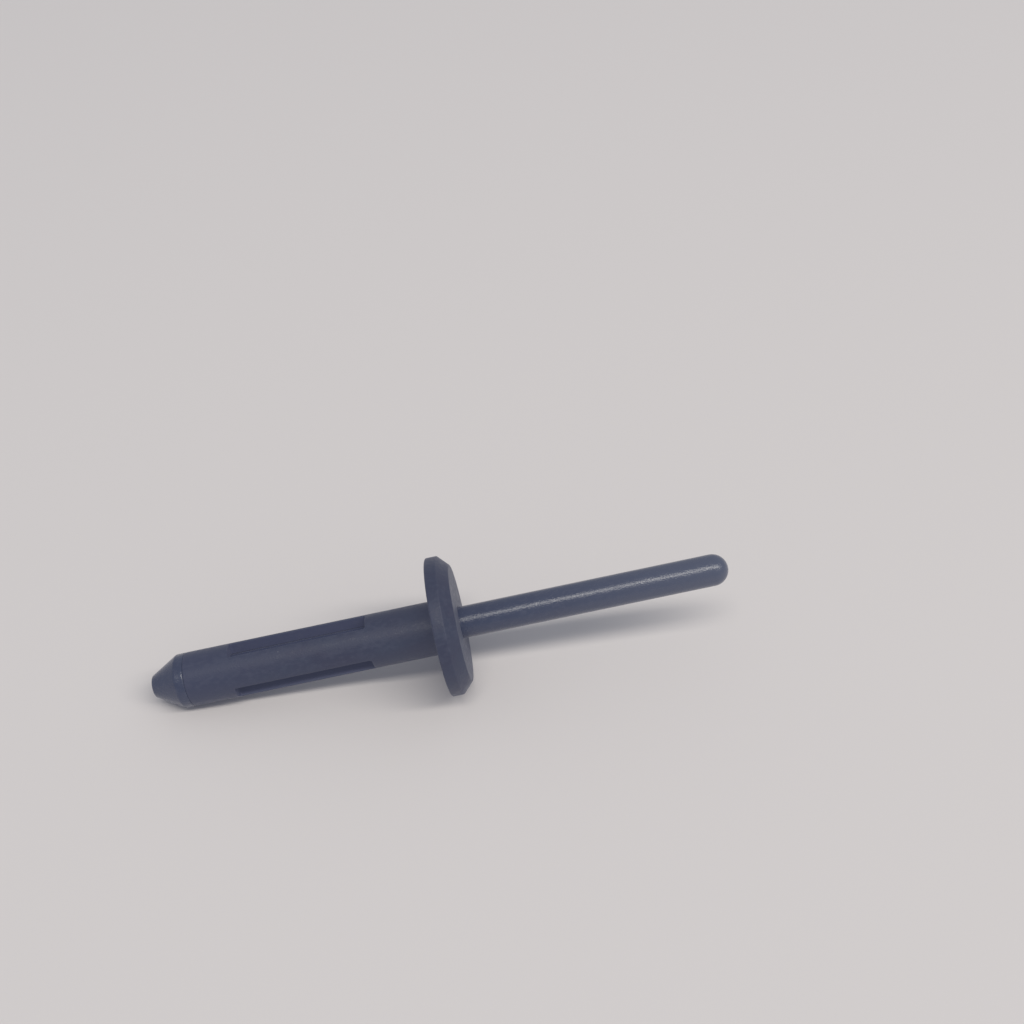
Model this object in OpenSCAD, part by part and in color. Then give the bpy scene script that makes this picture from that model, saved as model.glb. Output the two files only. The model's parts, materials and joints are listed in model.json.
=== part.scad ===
// Pull-type plastic blind rivet, unset, lying on a flat surface.
//
// It is two mouldings. The rivet body is a wide bevelled head on a tubular
// shank, and long slots divide the middle of the shank into legs. The mandrel
// is a stem through the body's bore, with a nose cone whose flat shoulder
// seats on the end of the shank. Pulling the stem drives the nose towards the
// head, the legs fold outwards behind the panel, and the stem breaks at its
// notch, level with the face of the head.
//
// Each piece is drawn along its own axis, +Z towards the pulling end of the
// stem, and is then laid down: the rivet rests on the rim of its head and on
// the shoulder of its nose, so its axis leans a few degrees.
//
// Origin: the centre of the head's bearing face, on the axis of the shank.
// +X runs towards the pulling end of the stem and +Z is up. Sizes are in mm.

/* [Shank] */
// Diameter of the shank, which passes through the panels
shank_d = 6.3; // [5.6:0.1:8]
// Length of the unslotted collar under the head
collar_l = 8.1; // [4:0.1:14]
// Length of the unslotted ring at the end of the shank
end_ring_l = 5.3; // [3:0.1:9]
// Fillet between the shank and the head
neck_fillet = 0.25; // [0.1:0.05:0.5]

/* [Legs] */
// Number of slots, and so of legs
slot_count = 3; // [2:1:4]
// Length of each slot
slot_l = 16.2; // [12:0.1:24]
// Width of each slot
slot_w = 2.4; // [1:0.1:2.8]
// Radius in the corners of each slot
slot_corner = 0.3; // [0.1:0.05:0.45]
// Angle of the first slot about the axis, up from the rivet's +Y side
slot_turn = 78.5; // [0:0.5:120]
// Length that the legs still take up once they are folded
fold_l = 6.9; // [4:0.1:10]

/* [Head] */
// Diameter of the head
head_d = 16.3; // [12:0.1:22]
// Width of the bevel, from the rim in to the flat face
bevel_w = 1.3; // [0.6:0.05:2.5]
// Thickness of the head
head_t = 2.6; // [2:0.1:4]
// Height of the straight rim below the bevel
head_rim_t = 1.35; // [0.6:0.05:1.6]
// Rounding of the head's edges
head_edge = 0.2; // [0.05:0.05:0.25]

/* [Mandrel] */
// Diameter of the stem
stem_d = 3.7; // [3:0.1:4]
// Length of the stem that stands out of the head
stem_out_l = 31.5; // [20:0.5:45]
// Length of the straight band behind the nose cone
nose_band_l = 1.05; // [0.8:0.05:2]
// Angle between the nose cone's side and the axis
nose_angle = 30; // [20:1:45]
// Diameter of the flat tip of the nose
nose_tip_d = 2.55; // [1.5:0.05:3]
// Rounding of the shoulder between the band and the cone
nose_shoulder = 0.5; // [0.2:0.05:0.6]
// Rounding of the tip
nose_tip_edge = 0.2; // [0.1:0.05:0.4]
// Depth of the break notch
notch_depth = 0.55; // [0.2:0.05:0.9]
// Half the angle between the notch's sides
notch_angle = 45; // [30:5:60]

/* [Fits] */
// Radial gap between the stem and the bore
bore_gap = 0.05; // [0.02:0.01:0.12]
// Fillet where the stem meets the shoulder of the nose
root_fillet = 0.2; // [0.1:0.05:0.3]
// Rounding of the two edges that meet at the joint of shank and nose
joint_edge = 0.15; // [0.05:0.05:0.3]
// Rounding of the bore's mouth in the face of the head
mouth_edge = 0.15; // [0.05:0.05:0.3]

/* [Colours] */
// Colour of the rivet body
body_colour = "#474a60";
// Colour of the mandrel
mandrel_colour = "#4a4f62";

/* [Hidden] */

$fn = 96;
arc_steps = 8; // straight pieces in each rounded corner
notch_root = 0.1; // radius at the bottom of the break notch
past = 1; // how far a cutter runs beyond what it cuts

shank_r = shank_d / 2;
stem_r = stem_d / 2;
tip_r = nose_tip_d / 2;
head_r = head_d / 2;
face_r = head_r - bevel_w;
bore_r = stem_r + bore_gap;
shank_l = collar_l + slot_l + end_ring_l;

// Heights along the axis, from the bearing face of the head
seat_z = -shank_l; // where the nose seats on the shank
shoulder_z = seat_z - nose_band_l;
tip_z = shoulder_z - (shank_r - tip_r) / tan(nose_angle);
stem_end_z = head_t + stem_out_l;
// The nose travels until the legs are folded, and the notch is then level with
// the face of the head.
notch_z = head_t - (slot_l - fold_l);
notch_half = notch_depth * tan(notch_angle);

// The surface touches two rounded corners, one on the head and one on the
// nose. Each is a circle, centred at a radius and a height on the axis.
head_contact = [head_r - head_edge, head_edge];
shoulder_inset = nose_shoulder * tan(nose_angle / 2);
nose_contact = [shank_r - nose_shoulder, shoulder_z + shoulder_inset];
contact_step = head_contact - nose_contact;
lie_angle = atan2(contact_step.x, contact_step.y)
    + asin((head_edge - nose_shoulder) / norm(contact_step));

function turned(v, angle) =
    [v.x * cos(angle) - v.y * sin(angle), v.x * sin(angle) + v.y * cos(angle)];

// The arc of radius r that rounds the corner at b, on the way from a to c
function arc_at(a, b, c, r) =
    let (
        to_a = (a - b) / norm(a - b),
        to_c = (c - b) / norm(c - b),
        half = acos(to_a * to_c) / 2,
        centre = b + (to_a + to_c) / norm(to_a + to_c) * r / sin(half),
        first = b + to_a * r / tan(half) - centre,
        side = sign(cross(first, b - centre)),
        sweep = side * (180 - 2 * half)
    )
    [for (i = [0:arc_steps]) centre + turned(first, sweep * i / arc_steps)];

// An outline with its corners rounded. Each corner is [x, y, radius].
function rounded(corners) =
    let (n = len(corners), flat = [for (c = corners) [c.x, c.y]])
    [
        for (i = [0:n - 1])
            each corners[i].z == 0
                ? [flat[i]]
                : arc_at(flat[(i + n - 1) % n], flat[i], flat[(i + 1) % n], corners[i].z)
    ];

// Lays a piece down on the surface that the rivet rests on. Its +X side, where
// the seam of a turned surface runs, comes to face +Y, clear of that surface.
module lie() {
    rotate([0, 90 - lie_angle, 0])
        rotate(90)
            children();
}

// Half section of the body without its slots: shank, head and bore
module body_outline() {
    polygon(rounded([
        [bore_r, seat_z, root_fillet + bore_gap],
        [shank_r, seat_z, joint_edge],
        [shank_r, 0, neck_fillet],
        [head_r, 0, head_edge],
        [head_r, head_rim_t, head_edge],
        [face_r, head_t, head_edge],
        [bore_r, head_t, mouth_edge]
    ]));
}

// The slot's outline, extruded from the axis out through one side of the shank
module slot_cutter() {
    low = -collar_l - slot_l;
    rotate([90, 0, 90])
        linear_extrude(height = shank_r + past)
            polygon(rounded([
                [-slot_w / 2, low, slot_corner],
                [slot_w / 2, low, slot_corner],
                [slot_w / 2, -collar_l, slot_corner],
                [-slot_w / 2, -collar_l, slot_corner]
            ]));
}

module rivet_body() {
    color(body_colour)
        lie()
            difference() {
                rotate_extrude()
                    body_outline();
                for (i = [0:slot_count - 1])
                    rotate(slot_turn + i * 360 / slot_count)
                        slot_cutter();
            }
}

// Half section of the mandrel up to the round end of its stem: the nose
// cone, the shoulder that seats on the shank, the break notch and the stem
module mandrel_outline() {
    polygon(rounded([
        [0, tip_z, 0],
        [tip_r, tip_z, nose_tip_edge],
        [shank_r, shoulder_z, nose_shoulder],
        [shank_r, seat_z, joint_edge],
        [stem_r, seat_z, root_fillet],
        [stem_r, notch_z - notch_half, 0],
        [stem_r - notch_depth, notch_z, notch_root],
        [stem_r, notch_z + notch_half, 0],
        [stem_r, stem_end_z - stem_r, 0],
        [0, stem_end_z - stem_r, 0]
    ]));
}

module mandrel() {
    color(mandrel_colour)
        lie() {
            rotate_extrude()
                mandrel_outline();
            translate([0, 0, stem_end_z - stem_r])
                sphere(r = stem_r);
        }
}

rivet_body();
mandrel();
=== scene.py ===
import json
import math

import bmesh
import bpy
from mathutils import Euler, Matrix, Vector
from mathutils.geometry import delaunay_2d_cdt


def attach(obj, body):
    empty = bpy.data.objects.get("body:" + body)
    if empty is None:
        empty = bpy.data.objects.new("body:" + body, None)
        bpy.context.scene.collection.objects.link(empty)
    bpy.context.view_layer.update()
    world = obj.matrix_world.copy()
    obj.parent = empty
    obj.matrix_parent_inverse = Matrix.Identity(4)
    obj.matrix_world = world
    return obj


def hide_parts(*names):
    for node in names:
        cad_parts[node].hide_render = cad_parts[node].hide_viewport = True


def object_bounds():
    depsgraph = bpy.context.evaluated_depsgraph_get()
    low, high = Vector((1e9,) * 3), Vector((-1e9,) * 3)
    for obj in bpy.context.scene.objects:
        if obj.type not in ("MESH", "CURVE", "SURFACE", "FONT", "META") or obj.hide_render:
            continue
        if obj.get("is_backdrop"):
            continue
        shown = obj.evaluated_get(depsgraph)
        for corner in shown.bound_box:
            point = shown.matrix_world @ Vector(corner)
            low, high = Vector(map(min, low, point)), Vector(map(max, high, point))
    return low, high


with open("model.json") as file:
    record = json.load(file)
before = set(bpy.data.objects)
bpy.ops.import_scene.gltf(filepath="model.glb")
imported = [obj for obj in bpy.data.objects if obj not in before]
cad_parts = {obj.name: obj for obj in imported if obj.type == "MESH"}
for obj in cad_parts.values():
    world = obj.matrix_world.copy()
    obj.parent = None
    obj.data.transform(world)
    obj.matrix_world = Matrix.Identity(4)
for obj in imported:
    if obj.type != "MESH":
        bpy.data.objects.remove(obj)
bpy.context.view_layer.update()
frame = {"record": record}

# An unset plastic blind rivet on a pale table. Both mouldings are rebuilt as
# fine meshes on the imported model's axis, with the slots' edges broken, and
# get satin nylon materials.
#
# The rivet's sizes are in millimetres. Heights run along its own axis, from
# the bearing face of the head up to the pull end of the stem.

MM = 0.001
mounts = {m["name"]: m for m in frame["record"]["mounts"]}

# Sizes of the body
SHANK_R = mounts["shank"]["dims"]["r_mm"]
COLLAR_L = 8.1
SLOT_L = 16.2
END_RING_L = 5.3
NECK_FILLET = 0.25
SLOT_COUNT = 3
SLOT_W = 2.4
SLOT_CORNER = 0.3
SLOT_TURN = math.radians(48.5)
SLOT_BREAK = 0.1  # rounding of the slots' outer edges
FOLD_L = 6.9  # length of the legs once they are folded
HEAD_R = 8.15
BEVEL_W = 1.3
HEAD_T = 2.6
HEAD_RIM_T = 1.35
HEAD_EDGE = 0.2

# Sizes of the mandrel
STEM_R = mounts["stem"]["dims"]["r_mm"]
STEM_OUT_L = 31.5
NOSE_BAND_L = 1.05
NOSE_ANGLE = math.radians(30)
NOSE_TIP_R = 1.275
NOSE_SHOULDER = 0.5
NOSE_TIP_EDGE = 0.2
NOTCH_DEPTH = 0.55
NOTCH_ANGLE = math.radians(45)  # half the angle between its sides
NOTCH_ROOT = 0.1

# Fits between them
BORE_GAP = 0.05
ROOT_FILLET = 0.2
JOINT_EDGE = 0.15
MOUTH_EDGE = 0.15

BORE_R = STEM_R + BORE_GAP
FACE_R = HEAD_R - BEVEL_W
SLOT_TOP_Z = -COLLAR_L
SLOT_FOOT_Z = SLOT_TOP_Z - SLOT_L
SEAT_Z = SLOT_FOOT_Z - END_RING_L
SHOULDER_Z = SEAT_Z - NOSE_BAND_L
TIP_Z = SHOULDER_Z - (SHANK_R - NOSE_TIP_R) / math.tan(NOSE_ANGLE)
STEM_END_Z = HEAD_T + STEM_OUT_L
NOTCH_Z = HEAD_T - (SLOT_L - FOLD_L)
NOTCH_HALF = NOTCH_DEPTH * math.tan(NOTCH_ANGLE)

# Fineness of the meshes
SIDES = 180  # columns round the axis
ARC_STEPS = 10  # straight pieces in a rounded corner
BREAK_STEPS = ARC_STEPS // 2  # straight pieces across the slots' broken edges
DOME_STEPS = 24  # straight pieces from the stem's wall to its end
WALL_ROWS = 2  # rows of faces down the slots' walls
ROW_STEP = 0.6  # height of a row on the round walls
EDGE_STEP = 0.25  # the first row beside a rounded corner
LONG = 3 * EDGE_STEP  # a straight longer than this is divided into rows
LEAD = 1  # how far an outline's leading lines run on past its first and last corners
HOLE_MARGIN = 0.6  # width kept free of grid points round a hole, in columns
MERGE = 1e-4  # vertices this near are one
TINY = 1e-7  # what counts as nothing

# Edges
SHARP_ANGLE = math.radians(35)  # edges sharper than this aren't smoothed over
GENTLE_BEND = 2.2  # bend at which an edge begins to show wear, in radians a millimetre
SHARP_BEND = 6.0  # bend at which it is fully worn

# The rivet's axis in the model's frame, and the turn that lays a piece along it
AXIS = Vector(mounts["stem"]["axis"]).normalized()
LAY_DOWN = Matrix(((AXIS.z, 0, AXIS.x), (0, 1, 0), (-AXIS.x, 0, AXIS.z)))
LEAN = Euler((0, -math.atan2(AXIS.z, AXIS.x), 0))  # from the X axis to the rivet's


# ---- outlines -------------------------------------------------------------

def arc_at(a, b, c, r):
    """The arc of radius r that rounds the corner at b, on the way from a to c."""
    to_a, to_c = (a - b).normalized(), (c - b).normalized()
    half = to_a.angle(to_c) / 2
    centre = b + (to_a + to_c).normalized() * r / math.sin(half)
    first = b + to_a * r / math.tan(half) - centre
    last = b + to_c * r / math.tan(half) - centre
    sweep = -first.angle_signed(last)
    turns = [sweep * i / ARC_STEPS for i in range(ARC_STEPS + 1)]
    return [centre + Matrix.Rotation(turn, 2) @ first for turn in turns]


def rounded(corners):
    """An open outline with its inner corners rounded. Each corner is (x, y, radius)."""
    flat = [Vector(c[:2]) for c in corners]
    points = []
    for i, (*_, r) in enumerate(corners):
        points += arc_at(flat[i - 1], flat[i], flat[i + 1], r) if r else [flat[i]]
    return points


def seat_outline():
    """From the shank's wall round its end and into the bore."""
    return rounded([
        (SHANK_R, SEAT_Z + LEAD, 0),
        (SHANK_R, SEAT_Z, JOINT_EDGE),
        (BORE_R, SEAT_Z, ROOT_FILLET + BORE_GAP),
        (BORE_R, SEAT_Z + LEAD, 0),
    ])[1:-1]


def head_outline():
    """From the shank's wall out and over the head and into the bore."""
    return rounded([
        (SHANK_R, -LEAD, 0),
        (SHANK_R, 0, NECK_FILLET),
        (HEAD_R, 0, HEAD_EDGE),
        (HEAD_R, HEAD_RIM_T, HEAD_EDGE),
        (FACE_R, HEAD_T, HEAD_EDGE),
        (BORE_R, HEAD_T, MOUTH_EDGE),
        (BORE_R, HEAD_T - LEAD, 0),
    ])[1:-1]


def mandrel_outline():
    """From the tip of the nose to the round end of the stem."""
    dome_z = STEM_END_Z - STEM_R
    turns = [math.pi / 2 * i / DOME_STEPS for i in range(1, DOME_STEPS)]
    dome = [Vector((STEM_R * math.cos(t), dome_z + STEM_R * math.sin(t))) for t in turns]
    return rounded([
        (0, TIP_Z, 0),
        (NOSE_TIP_R, TIP_Z, NOSE_TIP_EDGE),
        (SHANK_R, SHOULDER_Z, NOSE_SHOULDER),
        (SHANK_R, SEAT_Z, JOINT_EDGE),
        (STEM_R, SEAT_Z, ROOT_FILLET),
        (STEM_R, NOTCH_Z - NOTCH_HALF, 0),
        (STEM_R - NOTCH_DEPTH, NOTCH_Z, NOTCH_ROOT),
        (STEM_R, NOTCH_Z + NOTCH_HALF, 0),
        (STEM_R, dome_z, 0),
    ]) + dome + [Vector((0, STEM_END_Z))]


# ---- meshes ---------------------------------------------------------------

SEAM = SLOT_TURN - math.pi / SLOT_COUNT  # angle of the first column, in the middle of a leg


def column_angle(i):
    """The angle of a column of vertices."""
    return SEAM + 2 * math.pi * i / SIDES


def on_cylinder(r, angle, z):
    """The point at a radius, an angle and a height."""
    return Vector((r * math.cos(angle), r * math.sin(angle), z))


def in_rows(outline):
    """The outline with extra points on its long straights: one near each end, then even rows."""
    points = [outline[0]]
    for a, b in zip(outline, outline[1:]):
        length = (b - a).length
        if length > LONG:
            near, far = EDGE_STEP / length, 1 - EDGE_STEP / length
            rows = max(1, round((length - 2 * EDGE_STEP) / ROW_STEP))
            points += [a.lerp(b, near + (far - near) * i / rows) for i in range(rows + 1)]
        points.append(b)
    return points


def revolve(bm, outline):
    """Turns an outline of (radius, height) points round the axis."""
    rings = []
    for r, z in in_rows(outline):
        if r < TINY:
            rings.append([bm.verts.new((0, 0, z))] * SIDES)
        else:
            rings.append([bm.verts.new(on_cylinder(r, column_angle(i), z)) for i in range(SIDES)])
    for low, high in zip(rings, rings[1:]):
        join_rings(bm, low, high)


def join_rings(bm, low, high):
    """Faces between two closed rings of vertices, either of which may be one point."""
    n = len(low)
    for i in range(n):
        corners = [low[i], low[(i + 1) % n], high[(i + 1) % n], high[i]]
        bm.faces.new(list(dict.fromkeys(corners)))


def slot_outline():
    """The slot's outline as (across, height, normal out into the wall), counterclockwise."""
    low, high = SLOT_FOOT_Z + SLOT_CORNER, SLOT_TOP_Z - SLOT_CORNER
    side = SLOT_W / 2 - SLOT_CORNER
    rows = round((high - low) / ROW_STEP)
    across = round(2 * side / (2 * math.pi * SHANK_R / SIDES))
    straights = [
        ((side, low), (side, high), rows),
        ((side, high), (-side, high), across),
        ((-side, high), (-side, low), rows),
        ((-side, low), (side, low), across),
    ]
    points = []
    for k, (a, b, steps) in enumerate(straights):
        a, b, turn = Vector(a), Vector(b), math.pi / 2 * k
        normal = Vector((math.cos(turn), math.sin(turn)))
        points += [(a.lerp(b, i / steps) + normal * SLOT_CORNER, normal) for i in range(steps + 1)]
        for j in range(1, ARC_STEPS):
            t = turn + math.pi / 2 * j / ARC_STEPS
            normal = Vector((math.cos(t), math.sin(t)))
            points.append((b + normal * SLOT_CORNER, normal))
    return points


def slot_rings(turn):
    """Rings of points from the shank's wall over the broken edge and in to the bore."""
    spin = Matrix.Rotation(turn, 3, "Z")
    rings = [[] for _ in range(BREAK_STEPS + 1 + WALL_ROWS)]
    for p, n in slot_outline():
        ball = p + n * SLOT_BREAK
        depth = math.sqrt((SHANK_R - SLOT_BREAK) ** 2 - ball.x ** 2)
        centre = Vector((depth, ball.x, ball.y))
        outward = Vector((depth, ball.x, 0)).normalized()
        inward = Vector((0, -n.x, -n.y))
        for j in range(BREAK_STEPS + 1):
            facing = outward.slerp(inward, j / BREAK_STEPS)
            rings[j].append(spin @ (centre + facing * SLOT_BREAK))
        inner = math.sqrt(BORE_R ** 2 - p.x ** 2)
        for j in range(1, WALL_ROWS + 1):
            x = depth + (inner - depth) * j / WALL_ROWS
            rings[BREAK_STEPS + j].append(spin @ Vector((x, p.x, p.y)))
    return rings


def open_wall(bm, radius, low, high, holes):
    """A round wall between two heights, with closed rings of points left open as holes."""
    rows = round((high - low) / ROW_STEP)
    girth = radius * 2 * math.pi
    grid = [
        Vector((girth * i / SIDES, low + (high - low) * j / rows))
        for j in range(rows + 1)
        for i in range(SIDES + 1)
    ]
    flat_holes = [[unrolled(p, radius) for p in hole] for hole in holes]
    margin = HOLE_MARGIN * girth / SIDES
    points = [p for p in grid if not any(inside_or_near(p, hole, margin) for hole in flat_holes)]
    edges = []
    for hole in flat_holes:
        first = len(points)
        points += hole
        edges += [(first + i, first + (i + 1) % len(hole)) for i in range(len(hole))]
    flat, _, faces, *_ = delaunay_2d_cdt(points, edges, [], 0, TINY)
    verts = [bm.verts.new(on_cylinder(radius, SEAM + p.x / radius, p.y)) for p in flat]
    for face in faces:
        middle = sum((flat[i] for i in face), Vector((0, 0))) / len(face)
        if not any(inside_or_near(middle, hole, 0) for hole in flat_holes):
            bm.faces.new([verts[i] for i in face])


def unrolled(p, radius):
    """A point on the wall as (length round from the seam, height)."""
    return Vector(((math.atan2(p.y, p.x) - SEAM) % (2 * math.pi) * radius, p.z))


def inside_or_near(p, hole, near):
    """Whether a flat point lies in a hole's outline or within near of it."""
    xs, ys = [q.x for q in hole], [q.y for q in hole]
    if not (min(xs) - near < p.x < max(xs) + near and min(ys) - near < p.y < max(ys) + near):
        return False
    inside = False
    for a, b in zip(hole, hole[1:] + hole[:1]):
        if near and distance_to(p, a, b) < near:
            return True
        if (a.y > p.y) != (b.y > p.y) and p.x < a.x + (b.x - a.x) * (p.y - a.y) / (b.y - a.y):
            inside = not inside
    return inside


def distance_to(p, a, b):
    """Distance from a flat point to the stretch from a to b."""
    along = b - a
    t = max(0.0, min(1.0, (p - a).dot(along) / max(along.length_squared, TINY)))
    return (p - a - along * t).length


def body_mesh(bm):
    """Shank, head and bore, with the slots through the shank's wall."""
    seat, head = seat_outline(), head_outline()
    revolve(bm, seat)
    revolve(bm, head)
    slots = [slot_rings(SLOT_TURN + 2 * math.pi * i / SLOT_COUNT) for i in range(SLOT_COUNT)]
    for rings in slots:
        made = [[bm.verts.new(p) for p in ring] for ring in rings]
        for outer, inner in zip(made, made[1:]):
            join_rings(bm, outer, inner)
    open_wall(bm, SHANK_R, seat[0].y, head[0].y, [rings[0] for rings in slots])
    open_wall(bm, BORE_R, seat[-1].y, head[-1].y, [rings[-1] for rings in slots])


def mandrel_mesh(bm):
    """Nose, stem and break notch."""
    revolve(bm, mandrel_outline())


def mark_edges(bm):
    """Stores "wear" at each vertex: 0 on a wall, up to 1 on a sharp outer edge."""
    wear = bm.verts.layers.float.new("wear")
    for edge in bm.edges:
        a, b = (face.calc_center_median() for face in edge.link_faces)
        bend = edge.calc_face_angle_signed() / (a - b).length
        amount = (bend - GENTLE_BEND) / (SHARP_BEND - GENTLE_BEND)
        for vert in edge.verts:
            vert[wear] = max(vert[wear], min(1.0, amount))


def mark_slots(bm):
    """Stores "cut" at each vertex: 1 in the slots, below their broken edges, and 0 outside. The
    materials use it to paint light into the slots' shaded hollows.
    """
    cut = bm.verts.layers.float.new("cut")
    for vert in bm.verts:
        depth = SHANK_R - math.hypot(vert.co.x, vert.co.y)
        if SLOT_FOOT_Z - SLOT_BREAK < vert.co.z < SLOT_TOP_Z + SLOT_BREAK:
            vert[cut] = max(0.0, min(1.0, depth / (2 * SLOT_BREAK)))


def put_in_scene(name, data):
    """A new object in the scene, holding a mesh, camera or light."""
    obj = bpy.data.objects.new(name, data)
    bpy.context.scene.collection.objects.link(obj)
    return obj


def piece(name, build, node, material):
    """A closed mesh laid along the rivet's axis, in place of a node of the CAD model."""
    bm = bmesh.new()
    build(bm)
    bmesh.ops.remove_doubles(bm, verts=bm.verts, dist=MERGE)
    bmesh.ops.recalc_face_normals(bm, faces=bm.faces)
    mark_edges(bm)
    mark_slots(bm)
    bmesh.ops.transform(bm, verts=bm.verts, matrix=(LAY_DOWN * MM).to_4x4())
    mesh = bpy.data.meshes.new(name)
    bm.to_mesh(mesh)
    bm.free()
    mesh.shade_smooth()
    mesh.set_sharp_from_angle(angle=SHARP_ANGLE)
    mesh.materials.append(material)
    obj = put_in_scene(name, mesh)
    obj.modifiers.new("even_normals", "WEIGHTED_NORMAL").keep_sharp = True
    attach(obj, "root")
    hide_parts(node)
    return obj


# ---- materials ------------------------------------------------------------

WORN_COLOUR = (0.075, 0.08, 0.115)
DUST_COLOUR = (0.4, 0.4, 0.42)

# Sizes of the nylon's marks
CLOUD = 1.8
MOTTLE = 0.45
RIPPLE = 0.17
GRAIN = 0.11
DUST_SIZE = 0.13
DUST_SPACING = 2.2
DUST_CORE = 0.6  # share of a speck's width before its edge softens

# Depths of its bumps, and the share of their strength that the clouds have
CLOUD_DEPTH = 0.03
CLOUD_SHARE = 0.3
RIPPLE_DEPTH = 0.03
GRAIN_DEPTH = 0.004

NOISE_SPAN = (0.3, 0.7)  # where most of a noise's values lie

# How far the mottling, from one value to another, lets the worn colour show: in spots on the
# walls, and in patches on the edges, where it is weakened once more
SPOT_SPAN = (0.45, 0.75)
SPOT_SHOW = (0, 0.2)
PATCH_SPAN = (0.35, 0.6)
PATCH_SHOW = (0.15, 0.8)
EDGE_SHOW = 0.15


def principled(name):
    """A new material, its node tree and its Principled shader."""
    material = bpy.data.materials.new(name)
    material.use_nodes = True
    return material, material.node_tree, material.node_tree.nodes["Principled BSDF"]


def add(tree, kind, **values):
    """A node with its named inputs and properties set."""
    node = tree.nodes.new(kind)
    for key, value in values.items():
        if key in node.inputs:
            node.inputs[key].default_value = value
        else:
            setattr(node, key, value)
    return node


def noise(tree, coords, size, detail=3.0, roughness=0.5, drawn=1.0):
    """Noise of this grain size in millimetres, drawn out this many times along the rivet's axis."""
    place = add(tree, "ShaderNodeMapping", vector_type="TEXTURE", Rotation=LEAN, Scale=(drawn, 1, 1))
    node = add(tree, "ShaderNodeTexNoise", Scale=1 / (size * MM), Detail=detail, Roughness=roughness)
    tree.links.new(coords, place.inputs["Vector"])
    tree.links.new(place.outputs["Vector"], node.inputs["Vector"])
    return node.outputs["Fac"]


def mapped(tree, value, low, high, out_low, out_high):
    """A value remapped from one range to another, clamped."""
    node = add(tree, "ShaderNodeMapRange")
    for key, v in (("From Min", low), ("From Max", high), ("To Min", out_low), ("To Max", out_high)):
        node.inputs[key].default_value = v
    tree.links.new(value, node.inputs["Value"])
    return node.outputs["Result"]


def mixed(tree, factor, a, b):
    """Two colours mixed; either may be a plain colour or a socket."""
    node = add(tree, "ShaderNodeMix", data_type="RGBA")
    tree.links.new(factor, node.inputs["Factor"])
    for key, colour in (("A", a), ("B", b)):
        socket = next(s for s in node.inputs if s.name == key and s.type == "RGBA")
        if isinstance(colour, tuple):
            socket.default_value = (*colour, 1)
        else:
            tree.links.new(colour, socket)
    return next(s for s in node.outputs if s.type == "RGBA")


def bump(tree, height, depth, strength, before=None):
    """A bump of this depth in millimetres, laid over an earlier one."""
    node = add(tree, "ShaderNodeBump", Distance=depth * MM, Strength=strength)
    tree.links.new(height, node.inputs["Height"])
    if before:
        tree.links.new(before, node.inputs["Normal"])
    return node.outputs["Normal"]


def product(tree, a, b):
    """Two values multiplied; b may be a plain number."""
    node = add(tree, "ShaderNodeMath", operation="MULTIPLY")
    tree.links.new(a, node.inputs[0])
    if isinstance(b, float):
        node.inputs[1].default_value = b
    else:
        tree.links.new(b, node.inputs[1])
    return node.outputs["Value"]


def dust(tree, coords):
    """1 inside sparse round specks, softening to 0 at their edges."""
    node = add(tree, "ShaderNodeTexVoronoi", Scale=1 / (DUST_SPACING * MM))
    tree.links.new(coords, node.inputs["Vector"])
    edge = DUST_SIZE / DUST_SPACING / 2
    return mapped(tree, node.outputs["Distance"], DUST_CORE * edge, edge, 1, 0)


def stored(tree, name):
    """The value that the mesh stores under this name."""
    return add(tree, "ShaderNodeAttribute", attribute_name=name).outputs["Fac"]


def towards(tree, coords, start, end):
    """0 up to one place along the model's X axis, in millimetres, rising to 1 at another."""
    node = add(tree, "ShaderNodeSeparateXYZ")
    tree.links.new(coords, node.inputs["Vector"])
    return mapped(tree, node.outputs["X"], start * MM, end * MM, 0, 1)


def nylon(name, dark, light, painted_light_colour, painted_light_span, inside, gloss, shine, relief):
    """
    Satin moulded nylon, clouded from dark to light. Along a span from one X to another it turns
    towards a paler colour, which is painted light and shade along the rivet; its colour in the slots
    is painted light in their shaded hollows. gloss is its (low, high) roughness, shine how strongly
    it reflects, and relief how strongly its bumps show.
    """
    material, tree, shader = principled(name)
    coords = tree.nodes.new("ShaderNodeTexCoord").outputs["Object"]
    cloud = noise(tree, coords, CLOUD, detail=4, drawn=2.2)
    mottle = noise(tree, coords, MOTTLE, detail=3, drawn=1.6)
    ripple = noise(tree, coords, RIPPLE, detail=2, drawn=1.1)
    grain = noise(tree, coords, GRAIN, detail=2, roughness=0.6)

    colour = mixed(tree, mapped(tree, cloud, *NOISE_SPAN, 0, 1), dark, light)
    # Painted light and shade: the colour grows paler along the span of X, where more light reaches
    # the rivet.
    colour = mixed(tree, towards(tree, coords, *painted_light_span), colour, painted_light_colour)
    # Painted light: the slots' shaded hollows get a lighter colour.
    colour = mixed(tree, stored(tree, "cut"), colour, inside)
    colour = mixed(tree, mapped(tree, mottle, *SPOT_SPAN, *SPOT_SHOW), colour, WORN_COLOUR)
    patches = mapped(tree, mottle, *PATCH_SPAN, *PATCH_SHOW)
    worn = product(tree, product(tree, stored(tree, "wear"), patches), EDGE_SHOW)
    colour = mixed(tree, worn, colour, WORN_COLOUR)
    colour = mixed(tree, dust(tree, coords), colour, DUST_COLOUR)
    tree.links.new(colour, shader.inputs["Base Color"])
    tree.links.new(mapped(tree, mottle, *NOISE_SPAN, *gloss), shader.inputs["Roughness"])

    normal = bump(tree, grain, GRAIN_DEPTH, relief)
    normal = bump(tree, ripple, RIPPLE_DEPTH, relief, normal)
    normal = bump(tree, cloud, CLOUD_DEPTH, CLOUD_SHARE * relief, normal)
    tree.links.new(normal, shader.inputs["Normal"])

    shader.inputs["IOR"].default_value = 1.53
    shader.inputs["Specular IOR Level"].default_value = shine
    shader.inputs["Sheen Weight"].default_value = 0.12
    shader.inputs["Sheen Roughness"].default_value = 0.35
    shader.inputs["Sheen Tint"].default_value = (0.85, 0.88, 1, 1)
    return material


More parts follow.
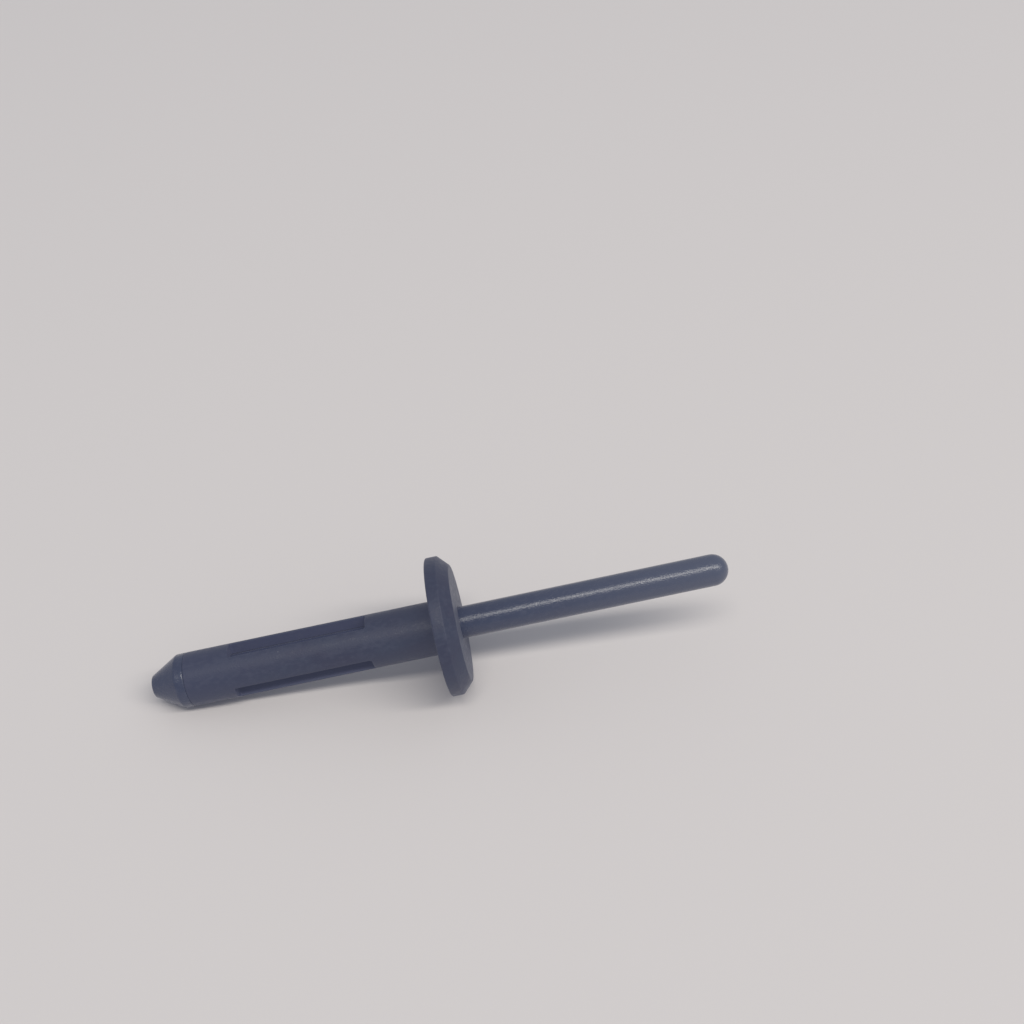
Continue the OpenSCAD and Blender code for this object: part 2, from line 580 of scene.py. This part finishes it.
def table_top():
    """The matt pale finish of the table."""
    material, _, shader = principled("pale_table")
    shader.inputs["Base Color"].default_value = (0.685, 0.65, 0.64, 1)
    shader.inputs["Roughness"].default_value = 0.6
    shader.inputs["Specular IOR Level"].default_value = 0.3
    return material


# ---- the room, in metres --------------------------------------------------

FLOOR_HALF = 3.0

# The camera is where it was for the photograph
CAMERA_PLACE = Vector((-2.666, -94.498, 106.315)) * MM
CAMERA_TARGET = Vector((11.846, 26.798, -8.026)) * MM
CAMERA_ROLL = math.radians(-0.527)
SENSOR_W = 36  # millimetres
LENS = 42.834  # millimetres

STRIP_PLACE = (0.95, -0.86, 2.0)
STRIP_SIZE = (3.3, 0.36)
STRIP_POWER = 42
STRIP_COLOUR = (1, 0.97, 0.92)
SKY_COLOUR = (0.9, 0.94, 1.0, 1)
SKY_STRENGTH = 0.41
HAZE = (0.027, 0.030, 0.049)


def floor_under(box):
    """A wide table top at the height of the rivet's lowest point."""
    half, height = FLOOR_HALF, box[0].z
    square = [(-half, -half), (half, -half), (half, half), (-half, half)]
    mesh = bpy.data.meshes.new("table_top")
    mesh.from_pydata([(x, y, height) for x, y in square], [], [(0, 1, 2, 3)])
    mesh.materials.append(table_top())
    floor = put_in_scene("table_top", mesh)
    floor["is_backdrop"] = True


def camera():
    """The camera, aimed at its target and turned a little about its sight line."""
    data = bpy.data.cameras.new("camera")
    data.sensor_width = SENSOR_W
    data.lens = LENS
    data.clip_start = MM
    obj = put_in_scene("camera", data)
    obj.location = CAMERA_PLACE
    obj.rotation_mode = "QUATERNION"
    aim = (CAMERA_TARGET - CAMERA_PLACE).to_track_quat("-Z", "Y")
    obj.rotation_quaternion = aim @ Euler((0, 0, CAMERA_ROLL)).to_quaternion()
    bpy.context.scene.camera = obj


def ceiling_strip():
    """A ceiling light along X, in front and to the right, tilted to face the rivet."""
    data = bpy.data.lights.new("ceiling_strip", "AREA")
    data.shape = "RECTANGLE"
    data.size, data.size_y = STRIP_SIZE
    data.energy = STRIP_POWER
    data.color = STRIP_COLOUR
    obj = put_in_scene("ceiling_strip", data)
    obj.location = STRIP_PLACE
    obj.rotation_euler = (math.atan2(-STRIP_PLACE[1], STRIP_PLACE[2]), 0, 0)


def cool_room():
    """Even light from all round."""
    world = bpy.data.worlds.new("studio")
    world.use_nodes = True
    sky = world.node_tree.nodes["Background"].inputs
    sky["Color"].default_value = SKY_COLOUR
    sky["Strength"].default_value = SKY_STRENGTH
    bpy.context.scene.world = world


def haze():
    """A plain tone curve with the thin veil of stray light that a camera lays over dark things."""
    view = bpy.context.scene.view_settings
    view.view_transform = "Standard"
    view.use_curve_mapping = True
    view.curve_mapping.black_level = [-v for v in HAZE]
    view.curve_mapping.update()


# ---- the rivet ------------------------------------------------------------

# The body's paler end is painted light: it grows paler from the collar towards the nose, away from
# the head's shade. Its colour in the slots is painted light.
body_nylon = nylon(
    "body_nylon", dark=(0.0125, 0.0135, 0.034), light=(0.0145, 0.021, 0.044),
    painted_light_colour=(0.022, 0.027, 0.057), painted_light_span=(-14, -31), inside=(0.052, 0.058, 0.11),
    gloss=(0.38, 0.64), shine=0.36, relief=0.8)
# The mandrel's paler end is painted light: the stem grows paler towards its far end, where more
# light falls. Its colour in the slots is painted light.
mandrel_nylon = nylon(
    "mandrel_nylon", dark=(0.013, 0.019, 0.047), light=(0.018, 0.027, 0.059),
    painted_light_colour=(0.06, 0.071, 0.108), painted_light_span=(5, 34), inside=(0.02, 0.026, 0.058),
    gloss=(0.18, 0.31), shine=0.5, relief=1.0)

piece("rivet_body_moulding", body_mesh, "rivet_body", body_nylon)
piece("mandrel_moulding", mandrel_mesh, "mandrel", mandrel_nylon)

floor_under(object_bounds())
camera()
ceiling_strip()
cool_room()
haze()
